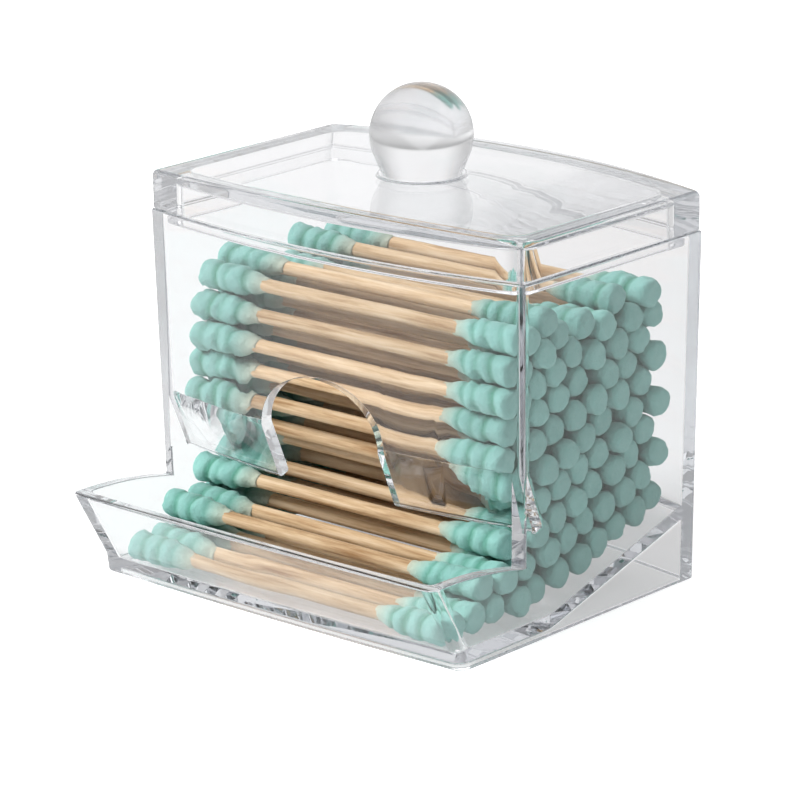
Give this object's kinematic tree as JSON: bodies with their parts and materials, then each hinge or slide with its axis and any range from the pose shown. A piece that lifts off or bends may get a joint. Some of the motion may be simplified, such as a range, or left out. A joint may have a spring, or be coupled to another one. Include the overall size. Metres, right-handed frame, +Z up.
{
  "type": "cotton swab storage box",
  "caption": "Clear box with a lift-off lid and ball knob, holding a pile of swabs that roll out through a low mouth into a front tray.",
  "frame": {"origin": "middle of the footprint at the resting face", "axes": "+Z up, +X to the right seen from the tray side, -Y towards the tray"},
  "size_m": [0.086, 0.0762, 0.0872],
  "materials": {
    "clear_plastic": "clear, polished moulding",
    "cotton": "matt wound cotton, mint green",
    "stick_wood": "bare, smooth sticks"
  },
  "bodies": {
    "box": {"box_body": "clear_plastic", "cotton_row_01": "cotton", "cotton_row_02": "cotton", "cotton_row_03": "cotton", "cotton_row_04": "cotton", "cotton_row_05": "cotton", "cotton_row_06": "cotton", "cotton_row_07": "cotton", "cotton_row_08": "cotton", "cotton_row_09": "cotton", "cotton_row_10": "cotton", "stick_row_01": "stick_wood", "stick_row_02": "stick_wood", "stick_row_03": "stick_wood", "stick_row_04": "stick_wood", "stick_row_05": "stick_wood", "stick_row_06": "stick_wood", "stick_row_07": "stick_wood", "stick_row_08": "stick_wood", "stick_row_09": "stick_wood", "stick_row_10": "stick_wood"},
    "lid": {"lid": "clear_plastic", "knob": "clear_plastic"}
  },
  "joints": [
    {"name": "lid_lift", "type": "slide", "parent": "box", "child": "lid", "axis": [0, 0, 1], "range_m": [0, 0.035]}
  ]
}
